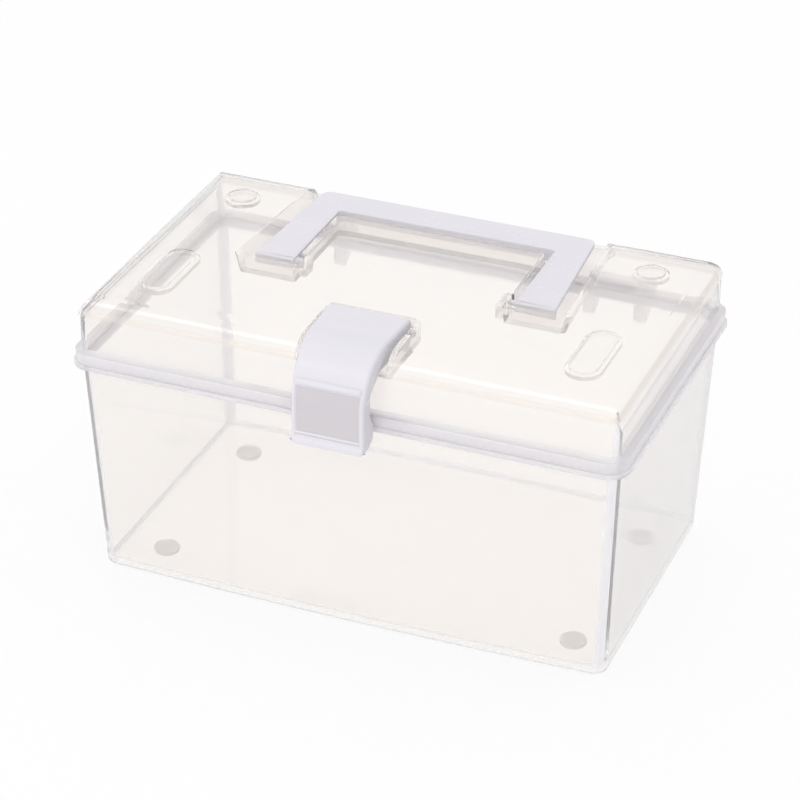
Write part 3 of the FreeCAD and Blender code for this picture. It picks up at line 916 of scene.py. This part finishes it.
class LidSkin:
    """One skin of the lid: the outer one, or the inner one that lies a wall's thickness behind it."""

    def __init__(self, lid: LidShell, behind: float) -> None:
        """Work out the skin's sizes.

        Args:
            lid: Lid whose sizes it follows.
            behind: How far it lies behind the outer skin, 0 for that skin itself.
        """
        low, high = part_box("lid")
        self.lid = lid
        self.behind = behind
        self.half_x = lid.half_x - behind
        self.half_y = lid.half_y - behind
        self.long_round = lid.long_round - behind
        self.side_round = lid.side_round - behind
        self.top_z = high.z - behind
        self.skirt_top_z = high.z - lid.rise - lid.shoulder_rise - behind
        self.foot_z = self.skirt_top_z if behind else high.z - lid.rise
        self.skirt = Outline(high.x, -low.y, lid.skirt_corner).grown(-behind)
        self.channel_half = lid.channel_half + behind
        self.channel_front = lid.channel_front - behind
        self.island_half = lid.island_half - behind
        self.island_rear = lid.island_rear - behind
        self.channel_z = self.top_z - lid.channel_depth
        self.pocket_end = lid.pocket_end - behind
        self.pocket_half = lid.pocket_half + behind
        self.recess_half = lid.recess_half + behind
        self.recess_rear = lid.recess_rear + behind
        self.recess_z = self.top_z - lid.recess_depth
        self.mould = Mould()

    def build(self) -> Mould:
        """Form the skin step by step.

        Returns:
            The skin, open along the foot of its skirt.
        """
        self.dome()
        self.channel()
        self.pockets()
        self.recess()
        for end, travel in (("front", self.lid.slot_travel), ("rear", 0.0)):
            for side in ("left", "right"):
                low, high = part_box("foot_" + end + "_" + side)
                self.stacking_space((low + high) / 2, travel)
        self.shoulder()
        self.mould.settle()
        return self.mould

    def dome(self) -> None:
        """Make the domed block, open below."""
        mould, lean = self.mould, self.lid.lean
        for vert in bmesh.ops.create_cube(mould.bm, size=2)["verts"]:
            upper = vert.co.z > 0
            vert.co.x *= self.half_x
            vert.co.y *= self.half_y - (lean if upper else 0)
            vert.co.z = self.top_z if upper else self.foot_z
        mould.open(lambda middle: middle.z < self.foot_z + NEAR)
        turn = math.pi / 2 - math.atan(lean / (self.top_z - self.foot_z))
        long_edges = [edge for edge in mould.bm.edges
                      if edge.calc_length() > self.half_x and edge.verts[0].co.z > self.top_z - NEAR]
        mould.round_edges(long_edges, self.long_round * math.tan(turn / 2), self.lid.long_steps)
        ends = [face for face in mould.bm.faces if abs(face.calc_center_median().x) > self.half_x - NEAR]
        end_edges = {edge for face in ends for edge in face.edges if not edge.is_boundary}
        mould.round_edges(end_edges, self.side_round, self.lid.side_steps)

    def on_top(self, spot: Vector) -> bool:
        """Tell whether a point lies on the flat top or the long rounds."""
        return abs(spot.x) < self.half_x - self.side_round and spot.z > self.top_z - self.long_round

    def in_channel(self, spot: Vector) -> bool:
        """Tell whether a point lies within the channel's outer walls, behind its front."""
        inside = abs(spot.x) + self.lid.channel_taper * spot.y < self.channel_half
        return self.on_top(spot) and inside and spot.y > self.channel_front

    def on_island(self, spot: Vector) -> bool:
        """Tell whether a point lies over the island."""
        return abs(spot.x) < self.island_half and self.channel_front < spot.y < self.island_rear

    def channel(self) -> None:
        """Sink the U-shaped channel that the handle lies in, open at the back."""
        cut, taper = self.mould.cut, self.lid.channel_taper
        cut(ALONG * self.channel_front, ALONG, self.on_top)
        for side in (-1, 1):
            cut(ACROSS * side * self.channel_half, Vector((side, taper, 0)).normalized(),
                lambda spot: self.on_top(spot) and spot.y > self.channel_front)
        cut(UP * self.channel_z, UP, lambda spot: self.in_channel(spot) and spot.y > 0)
        cut(ALONG * self.island_rear, ALONG, self.in_channel)
        for side in (-1, 1):
            cut(ACROSS * side * self.island_half, ACROSS * side,
                lambda spot: self.in_channel(spot) and spot.y < self.island_rear)
        self.mould.sink(
            lambda spot: self.in_channel(spot) and not self.on_island(spot) and spot.z > self.channel_z,
            self.channel_z, self.drafted)
        front_x = self.channel_half - taper * self.channel_front
        corners = [(side * x, y) for side in (-1, 1)
                   for x, y in ((front_x, self.channel_front), (self.island_half, self.island_rear))]
        found = self.mould.edges_at(corners, NEAR * 10)
        self.mould.round_edges(found, self.lid.channel_corner, self.lid.channel_steps)

    def drafted(self, top: Vector, depth: float) -> Vector:
        """Lean the channel's walls into it.

        Args:
            top: Point on the channel's rim.
            depth: How far the floor lies below it.

        Returns:
            The wall's foot, before it is lowered.
        """
        share = depth / self.lid.channel_depth
        x, y = abs(top.x), top.y
        if x > self.island_half + NEAR:
            x -= self.lid.channel_draft * share
        elif y < self.island_rear + NEAR:
            x += self.lid.island_draft * share if x > self.island_half - NEAR else 0
            y += self.lid.island_draft * share if y > self.island_rear - NEAR else 0
        return Vector((math.copysign(x, top.x), y, top.z))

    def pockets(self) -> None:
        """Sink the snap-in pockets of the handle's pegs into the island's sides."""
        cut = self.mould.cut
        floor_z = joint_place("handle_pivot").z - self.lid.pocket_depth - self.behind

        def on_edge(spot: Vector) -> bool:
            """Tell whether a point lies on the island's side wall or on the top beside it."""
            beside = self.pocket_end < abs(spot.x) < self.island_half + self.lid.island_draft
            return (beside and self.channel_front < spot.y < self.island_rear
                    and spot.z > self.channel_z + NEAR)

        def between(spot: Vector) -> bool:
            """Tell whether a point lies between a pocket's cheeks."""
            return on_edge(spot) and abs(spot.y) < self.pocket_half

        for side in (-1, 1):
            cut(ACROSS * side * self.pocket_end, ACROSS * side,
                lambda spot: self.on_island(spot) and spot.z > self.top_z - NEAR)
            cut(ALONG * side * self.pocket_half, ALONG * side, on_edge)
        cut(UP * floor_z, UP, between)
        for side in (-1, 1):
            self.mould.sink(lambda spot: between(spot) and spot.x * side > 0 and spot.z > floor_z,
                            floor_z, lambda top, depth: top)

    def recess(self) -> None:
        """Sink the latch's recess, open at the front."""
        cut = self.mould.cut

        def ahead(spot: Vector) -> bool:
            """Tell whether a point lies in front of the channel."""
            return self.on_top(spot) and spot.y < self.channel_front

        def between(spot: Vector) -> bool:
            """Tell whether a point lies between the recess's sides."""
            return ahead(spot) and abs(spot.x) < self.recess_half

        for side in (-1, 1):
            cut(ACROSS * side * self.recess_half, ACROSS * side, ahead)
        cut(ALONG * self.recess_rear, -ALONG, between)
        cut(UP * self.recess_z, UP, lambda spot: between(spot) and spot.z < self.top_z - NEAR)
        self.mould.sink(lambda spot: between(spot) and spot.y < self.recess_rear and spot.z > self.recess_z,
                        self.recess_z, lambda top, depth: top)
        corners = [(side * self.recess_half, self.recess_rear) for side in (-1, 1)]
        found = self.mould.edges_at(corners, NEAR * 10)
        self.mould.round_edges(found, self.lid.recess_corner + self.behind, self.lid.recess_steps)

    def stacking_space(self, foot: Vector, travel: float) -> None:
        """Sink a recess for a stacked box's foot: round, or a slot where the foot slides.

        Args:
            foot: Middle of the foot that it matches.
            travel: How far the stacked foot may slide to the back.
        """
        mould = self.mould
        radius = self.lid.stack_radius + self.behind
        centre = Vector((foot.x, foot.y, self.top_z))
        far = centre + ALONG * travel
        patch = [face for face in mould.bm.faces
                 if face.normal.z > FLAT and bmesh.geometry.intersect_face_point(face, centre)]
        for start, out in ((centre, -ACROSS), (centre, ACROSS), (centre, -ALONG), (far, ALONG)):
            patch = mould.cut_faces(patch, start + out * radius * self.lid.stack_margin, out)
        border = list(patch[0].edges)
        bmesh.ops.delete(mould.bm, geom=patch, context="FACES_ONLY")
        ring = mould.ring(radius, self.lid.stack_steps, Matrix.Translation(centre))
        for vert in {vert for edge in ring for vert in edge.verts}:
            vert.co.y += travel if vert.co.y > centre.y else 0
        mould.fill_between(border + ring)
        mould.fill(mould.grow(ring, lambda spot: spot - UP * self.lid.stack_depth))

    def shoulder(self) -> None:
        """Widen the dome's foot to the shoulder and drop the skirt."""
        foot = Outline(self.half_x, self.half_y, self.side_round)
        skirt_z = self.skirt_top_z - self.lid.skirt_height + self.behind
        ring = [edge for edge in self.mould.bm.edges if edge.is_boundary]
        ring = self.mould.grow(ring, lambda spot: self.skirt.carry(spot, foot, self.skirt_top_z))
        self.mould.grow(ring, lambda spot: Vector((spot.x, spot.y, skirt_z)))


@dataclass
class CarryHandle:
    """Flat U-shaped handle with a flange round its inner edge and a peg on each leg."""

    opening_half: float = 0.053
    opening_depth: float = 0.051
    front_half: float = 0.072
    rear_half: float = 0.067
    nose: float = 0.003
    plate: float = 0.002
    flange: float = 0.002
    corner: float = 0.004
    inner_corner: float = 0.0015
    peg_radius: float = 0.0023
    peg_tip: float = 0.0482
    edge: float = 0.0004
    nose_share: float = 0.95
    round_steps: int = 5
    inner_steps: int = 4

    def build(self, finisher: Finisher) -> None:
        """Cut the U from a sheet, thicken it and lower its flange.

        Args:
            finisher: Makes the piece.
        """
        low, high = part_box("carry_handle")
        pivot = joint_place("handle_pivot")
        front_y, rear_y = pivot.y - self.nose, high.y
        mould = Mould()
        for vert in bmesh.ops.create_grid(mould.bm, x_segments=1, y_segments=1, size=1)["verts"]:
            rear = vert.co.y > 0
            vert.co = Vector((vert.co.x * (self.rear_half if rear else self.front_half),
                              rear_y if rear else front_y, high.z))
        inner, rib = self.opening_half, self.opening_half + self.flange
        for x in (-rib, -inner, inner, rib):
            mould.cut(ACROSS * x, ACROSS, lambda spot: True)
        for y in (front_y + self.flange, self.opening_depth, self.opening_depth + self.flange):
            mould.cut(ALONG * y, ALONG, lambda spot: True)
        mould.open(lambda spot: abs(spot.x) < inner and spot.y < self.opening_depth)

        def ribbed(spot: Vector) -> bool:
            """Tell whether a point lies over the flange or the legs' front walls."""
            beside = abs(spot.x) < rib and spot.y < self.opening_depth + self.flange
            return beside or spot.y < front_y + self.flange

        mould.pull(mould.bm.faces[:], UP * -self.plate)
        under = [face for face in mould.bm.faces
                 if face.normal.z < -FACING and ribbed(face.calc_center_median())]
        mould.pull(under, UP * (low.z + self.plate - high.z))
        mould.settle()
        rear = [(side * self.rear_half, rear_y) for side in (-1, 1)]
        mould.round_edges(mould.edges_at(rear, NEAR), self.corner, self.round_steps)
        inside = [(side * inner, self.opening_depth) for side in (-1, 1)]
        mould.round_edges(mould.edges_at(inside, NEAR), self.inner_corner, self.inner_steps)
        noses = [edge for edge in mould.bm.edges
                 if all(vert.co.y < front_y + NEAR for vert in edge.verts)
                 and abs(edge.verts[0].co.z - edge.verts[1].co.z) < NEAR]
        mould.round_edges(noses, self.nose * self.nose_share, self.round_steps)
        for side in (-1, 1):
            reach = (rib + self.peg_tip) / 2
            mould.capsule(self.peg_radius, rib - reach, Vector((side * reach, pivot.y, pivot.z)))
        bow = finisher.piece("handle_bow", mould, [Finish.WHITE], Body.HANDLE, ["carry_handle"])
        soften(bow, self.edge)


@dataclass
class FrontLatch:
    """Bent clip with side wings, a grip bar, a recessed front panel and a hook."""

    rear_half: float = 0.0195
    front_half: float = 0.0168
    bend: float = 0.024
    rear_round: float = 0.0035
    plate: float = 0.002
    lip_proud: float = 0.0009
    lip_height: float = 0.0024
    lip_edge: float = 0.0008
    wing_depth: float = 0.0068
    gusset: float = 0.010
    eye: float = 0.0038
    side_round: float = 0.0016
    lip_face: float = -0.0789
    lip_z: float = 0.1083
    skirt_top_z: float = 0.1158
    wing_step: float = 0.0015
    hook_gap: float = 0.0004
    hook_thickness: float = 0.0022
    hook_tip: float = -0.0772
    hook_bite: float = 0.0012
    panel_top_z: float = 0.1300
    panel_inset: float = 0.0007
    panel_depth: float = 0.0007
    bead_radius: float = 0.0016
    bead_proud: float = 0.0014
    bead_angle: float = 24.5
    bead_share: float = 0.92
    ridge_radius: float = 0.0007
    ridge_rise: float = 0.0056
    edge: float = 0.0003
    side_steps: int = 3

    def __post_init__(self) -> None:
        """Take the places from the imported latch."""
        self.low, self.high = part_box("front_latch")
        self.front = self.low.y + self.lip_proud
        self.pivot = joint_place("latch_pivot")

    def half_width(self, y: float) -> float:
        """Half of the latch's width at a depth."""
        share = (y - self.front) / (self.high.y - self.front)
        return self.front_half + (self.rear_half - self.front_half) * share

    def side_view(self) -> list[tuple[Vector, float]]:
        """Give the latch's outline as seen from its side.

        Returns:
            Corner points from the rear top round to the rear foot, each with its radius.
        """
        wing = self.front + self.wing_depth
        lip_z = self.low.z + self.lip_height
        wing_low = self.pivot.z - self.eye
        outline = [
            (self.high.y, self.high.z, self.rear_round),
            (self.front, self.high.z, self.bend),
            (self.front, lip_z + self.lip_proud, self.lip_edge),
            (self.low.y, lip_z, self.lip_edge / 2),
            (self.low.y, self.low.z, self.lip_edge),
            (self.front + self.plate, self.low.z, 0),
            (self.lip_face, self.lip_z - self.hook_gap - self.hook_thickness, 0),
            (self.lip_face, self.skirt_top_z - self.wing_step, 0),
            (wing, self.skirt_top_z + self.wing_step, 0),
            (wing, self.high.z - self.bend + self.wing_depth, 0),
            (wing + self.gusset, wing_low, 0),
            (self.high.y, wing_low, self.eye),
        ]
        return [(Vector((-1, y, z)), radius) for y, z, radius in outline]

    def build(self, finisher: Finisher) -> None:
        """Bend the clip, then add its hook, its grip bar and the ridge near its foot.

        Args:
            finisher: Makes the pieces.
        """
        clip = finisher.piece("latch_clip", self.clip(), LATCH, Body.LATCH, ["front_latch"])
        thicken(clip, self.plate)
        soften(clip, self.edge)
        soften(finisher.piece("latch_hook", self.hook(), [Finish.WHITE], Body.LATCH), self.edge)
        grip = Mould()
        turn = math.radians(self.bead_angle)
        seat = self.bend - self.bead_radius + self.bead_proud
        grip.capsule(self.bead_radius, self.front_half * self.bead_share,
                     Vector((0, self.front + self.bend - seat * math.cos(turn),
                             self.high.z - self.bend + seat * math.sin(turn))))
        grip.capsule(self.ridge_radius, self.front_half * self.bead_share,
                     Vector((0, self.front + self.panel_depth, self.low.z + self.ridge_rise)))
        finisher.piece("latch_grip", grip, [Finish.WHITE], Body.LATCH)

    def clip(self) -> Mould:
        """Make the clip's outer skin: its bent face and its two wings.

        Returns:
            The skin, open towards the box.
        """
        mould = Mould()
        mould.pull([mould.polygon(self.side_view())], ACROSS * 2)
        for vert in mould.bm.verts:
            vert.co.x = math.copysign(self.half_width(vert.co.y), vert.co.x)
        mould.settle()
        inside = []
        for face in mould.bm.faces:
            middle = face.calc_center_median()
            aside = abs(face.normal.x) > SIDEWAYS
            outer = aside or face.normal.z > SLIGHT or face.normal.y < -SLIGHT
            tail = middle.z < self.low.z + NEAR
            back = middle.y > self.high.y - NEAR
            if not (outer or tail or back):
                inside.append(face)
        bmesh.ops.delete(mould.bm, geom=inside, context="FACES")
        sides = {face for face in mould.bm.faces if abs(face.normal.x) > SIDEWAYS}
        corners = [edge for edge in mould.bm.edges if len(sides.intersection(edge.link_faces)) == 1
                   and len(edge.link_faces) == 2]
        mould.round_edges(corners, self.side_round, self.side_steps)
        top_z = self.low.z + self.lip_height + 2 * self.lip_proud
        panel = [face for face in mould.bm.faces
                 if face.normal.y < -FACING and abs(face.normal.x) < SLIGHT
                 and top_z < face.calc_center_median().z < self.panel_top_z]
        bmesh.ops.inset_region(mould.bm, faces=panel, thickness=self.panel_inset, depth=-self.panel_depth,
                               use_even_offset=True, use_boundary=True)
        # The panel takes the darker copy of the white, which paints its shade
        for face in panel:
            face.material_index = LATCH.index(Finish.SHADED_PANEL)
        mould.settle()
        return mould

    def hook(self) -> Mould:
        """Make the hook that grips under the bin's lip.

        Returns:
            The closed hook.
        """
        top = self.lip_z - self.hook_gap
        low = top - self.hook_thickness
        root = self.front + self.plate / 2
        half = self.front_half - self.plate / 2
        outline = [(root, low), (self.hook_tip - self.hook_bite, low), (self.hook_tip, (low + top) / 2),
                   (self.hook_tip, top), (root, top)]
        mould = Mould()
        face = mould.polygon([(Vector((-half, y, z)), 0) for y, z in outline])
        mould.pull([face], ACROSS * 2 * half)
        mould.settle()
        return mould


@dataclass
class RearHinges:
    """Bin ears and lid knuckles of the two rear hinges."""

    barrel: float = 0.0048
    ear_width: float = 0.006
    knuckle_half: float = 0.009
    end_gap: float = 0.0004
    ear_root: float = 0.0731
    ear_shelf_z: float = 0.1105
    ear_foot_z: float = 0.0993
    ear_bore: float = 0.00163
    knuckle_root: float = 0.0765
    knuckle_shelf_z: float = 0.1108
    knuckle_foot_z: float = 0.1158
    knuckle_bore: float = 0.00168
    edge: float = 0.0003
    barrel_steps: int = 26
    bore_steps: int = 20

    def build(self, finisher: Finisher) -> None:
        """Make the leaves of both hinges.

        Args:
            finisher: Makes the pieces.
        """
        for side in ("left", "right"):
            low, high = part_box("hinge_pin_" + side)
            centre = (low.x + high.x) / 2
            ears = Mould()
            inner = self.knuckle_half + self.end_gap
            for start in (centre - inner - self.ear_width, centre + inner):
                self.leaf(ears, start, self.ear_width, self.ear_root, self.ear_shelf_z,
                          self.ear_foot_z, self.ear_bore)
            soften(finisher.piece("hinge_ears_" + side, ears, [Finish.EDGE], Body.BIN), self.edge)
            knuckle = Mould()
            self.leaf(knuckle, centre - self.knuckle_half, 2 * self.knuckle_half, self.knuckle_root,
                      self.knuckle_shelf_z, self.knuckle_foot_z, self.knuckle_bore)
            soften(finisher.piece("hinge_knuckle_" + side, knuckle, [Finish.EDGE], Body.LID), self.edge)

    def leaf(self, mould: Mould, start: float, width: float, root: float, shelf_z: float, foot_z: float,
             bore: float) -> None:
        """Add one leaf: a web from the wall, with a bored barrel at its end.

        Args:
            mould: Mesh that takes the leaf.
            start: X place of its left side.
            width: Its width along X.
            root: Y place where it leaves the wall.
            shelf_z: Level of the web's side next to the seam.
            foot_z: Level of the web's far side at the wall.
            bore: Radius of the hole for the pin.
        """
        heart = joint_place("lid_hinge")
        heart.x = start
        across, rise = heart.y - root, heart.z - foot_z
        span = math.hypot(across, rise)
        turn = math.copysign(math.asin(self.barrel / span), rise)
        heading = math.atan2(rise, across) - turn
        reach = math.sqrt(span ** 2 - self.barrel ** 2)
        touch = Vector((start, root + reach * math.cos(heading), foot_z + reach * math.sin(heading)))
        drop = shelf_z - heart.z
        inner = Vector((start, heart.y - math.sqrt(self.barrel ** 2 - drop ** 2), shelf_z))
        first = (touch - heart).yz
        sweep = first.angle_signed((inner - heart).yz)
        sweep = sweep % (2 * math.pi) if rise < 0 else -((-sweep) % (2 * math.pi))
        begin = mould.bm.verts.new(touch)
        arc = bmesh.ops.spin(mould.bm, geom=[begin], cent=heart, axis=ACROSS, angle=-sweep,
                             steps=self.barrel_steps)
        end = next(item for item in arc["geom_last"] if isinstance(item, BMVert))
        web = [end, *(mould.bm.verts.new((start, root, z)) for z in (shelf_z, foot_z)), begin]
        for one, other in zip(web, web[1:]):
            mould.bm.edges.new((one, other))
        lay = Matrix.Translation(heart) @ Matrix.Rotation(math.radians(90), 4, "Y")
        mould.ring(bore, self.bore_steps, lay)
        flat = [edge for edge in mould.bm.edges if not edge.link_faces]
        mould.pull(mould.fill_between(flat), ACROSS * width)


@dataclass
class FootPads:
    """Round pads under the floor, with a rounded lower edge and a ring groove."""

    edge: float = 0.0007
    groove_at: float = 0.6
    groove: float = 0.0003
    edge_cut: float = 0.29
    steps: int = 40

    def build(self, finisher: Finisher) -> None:
        """Turn each pad from its half outline.

        Args:
            finisher: Makes the pieces.
        """
        for name in [name for name in frame["nodes"] if name.startswith("foot_")]:
            low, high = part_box(name)
            radius = (high.x - low.x) / 2
            centre = (low + high) / 2
            hollow, cut = radius * self.groove_at, self.edge * self.edge_cut
            outline = [(0, low.z + self.groove), (hollow, low.z + self.groove),
                       (hollow + self.groove, low.z), (radius - self.edge, low.z),
                       (radius - cut, low.z + cut), (radius, low.z + self.edge),
                       (radius, high.z), (0, high.z)]
            mould = Mould()
            points = [mould.bm.verts.new((centre.x + out, centre.y, z)) for out, z in outline]
            chain = [mould.bm.edges.new(pair) for pair in zip(points, points[1:])]
            bmesh.ops.spin(mould.bm, geom=[*points, *chain], cent=centre, axis=UP,
                           angle=2 * math.pi, steps=self.steps, use_merge=True)
            mould.settle()
            finisher.piece(name.replace("foot", "pad"), mould, [Finish.FOOT], Body.BIN, [name])


@dataclass(frozen=True)
class Lamp:
    """A long soft lamp: its place, its length and width, its power in watts and its colour."""

    name: str
    place: Place
    size: tuple[float, float]
    power: float
    colour: Colour


LAMPS = (
    Lamp("over", (-0.66, -1.15, 1.62), (1.8, 0.45), 5.5, (1, 0.985, 0.965)),
    Lamp("front", (-0.64, -1.86, 0.42), (1.8, 0.08), 1.9, (1, 0.99, 0.98)),
)


@dataclass
class Studio:
    """White floor, soft lamps and the photograph's camera."""

    azimuth: float = 21.90
    elevation: float = 30.17
    roll: float = 0.23
    distance: float = 1.4094
    lens: float = 138.53
    sensor: float = 36.0
    aim: Place = (-0.004796, 0.006895, 0.0735)
    floor_size: float = 8.0
    floor_colour: Colour = (0.94, 0.94, 0.94)
    floor_glow: float = 0.85
    fill_colour: Colour = (0.985, 0.98, 0.985)
    fill: float = 0.96
    glass_bounces: int = 24
    see_through_bounces: int = 64

    def build(self) -> None:
        """Set the stage round the finished box."""
        scene = bpy.context.scene
        scene.view_settings.view_transform = "Standard"
        scene.cycles.transparent_max_bounces = self.see_through_bounces
        scene.cycles.transmission_bounces = self.glass_bounces
        scene.cycles.max_bounces = self.glass_bounces
        self.camera()
        self.floor()
        self.world()
        for lamp in LAMPS:
            self.hang(lamp)

    def camera(self) -> None:
        """Place the camera at the photograph's angle."""
        turn, lift = math.radians(self.azimuth), math.radians(self.elevation)
        back = Vector((math.sin(turn) * math.cos(lift), -math.cos(turn) * math.cos(lift), math.sin(lift)))
        data = bpy.data.cameras.new("camera")
        data.lens = self.lens
        data.sensor_width = self.sensor
        data.clip_start = 0.05
        made = set_out("camera", data)
        made.location = Vector(self.aim) + back * self.distance
        made.rotation_mode = "QUATERNION"
        tilt = Matrix.Rotation(math.radians(self.roll), 3, "Z").to_quaternion()
        made.rotation_quaternion = (-back).to_track_quat("-Z", "Y") @ tilt
        bpy.context.scene.camera = made

    @staticmethod
    def seen(tree: bpy.types.NodeTree) -> bpy.types.NodeSocket:
        """Find the rays that show the background.

        Args:
            tree: Node tree of a floor or world.

        Returns:
            A socket that is 1 for camera, glossy and transmission rays.
        """
        path = add_node(tree, "ShaderNodeLightPath", {})
        found = path.outputs["Is Camera Ray"]
        for name in ("Is Glossy Ray", "Is Transmission Ray"):
            either = add_node(tree, "ShaderNodeMath", {0: found, 1: path.outputs[name]},
                              operation="MAXIMUM")
            found = either.outputs[0]
        return found

    def floor(self) -> None:
        """Lay a floor that shows as nearly white and keeps some of the shadow."""
        mould = Mould()
        bmesh.ops.create_grid(mould.bm, x_segments=1, y_segments=1, size=self.floor_size / 2)
        mesh = bpy.data.meshes.new("floor")
        mould.bm.to_mesh(mesh)
        mould.bm.free()
        set_out("floor", mesh)
        material = bpy.data.materials.new("white_floor")
        tree = bare_tree(material)
        matt = add_node(tree, "ShaderNodeBsdfDiffuse", {"Color": (*self.floor_colour, 1)})
        glow = add_node(tree, "ShaderNodeEmission", {})
        share = add_node(tree, "ShaderNodeMath", {0: self.seen(tree), 1: self.floor_glow},
                         operation="MULTIPLY")
        end_tree(tree, share.outputs[0], matt, glow)
        mesh.materials.append(material)

    def world(self) -> None:
        """Surround the box with a soft fill that shows as white."""
        world = bpy.data.worlds.new("studio")
        bpy.context.scene.world = world
        tree = bare_tree(world)
        fill = add_node(tree, "ShaderNodeBackground", {
            "Color": (*self.fill_colour, 1), "Strength": self.fill})
        white = add_node(tree, "ShaderNodeBackground", {"Color": (1, 1, 1, 1)})
        end_tree(tree, self.seen(tree), fill, white, "ShaderNodeOutputWorld")

    def hang(self, lamp: Lamp) -> None:
        """Hang a lamp that faces the box.

        Args:
            lamp: Lamp to hang.
        """
        data = bpy.data.lights.new(lamp.name, "AREA")
        data.shape = "RECTANGLE"
        data.size, data.size_y = lamp.size
        data.energy = lamp.power
        data.color = lamp.colour
        made = set_out(lamp.name, data)
        made.location = lamp.place
        made.rotation_mode = "QUATERNION"
        towards = Vector(self.aim) - Vector(lamp.place)
        made.rotation_quaternion = towards.to_track_quat("-Z", "Y")


def main() -> None:
    """Build the box's pieces in order, then the studio round them."""
    logging.basicConfig(level=logging.INFO, format="%(message)s")
    finisher = Finisher()
    for pin in ("latch_pin", "hinge_pin_left", "hinge_pin_right"):
        finisher.dress(pin, Finish.PIN)
    for piece in (BinShell(), LidShell(), RearHinges(), CarryHandle(), FrontLatch(), FootPads()):
        piece.build(finisher)
    Studio().build()


if __name__ == "__main__":
    main()
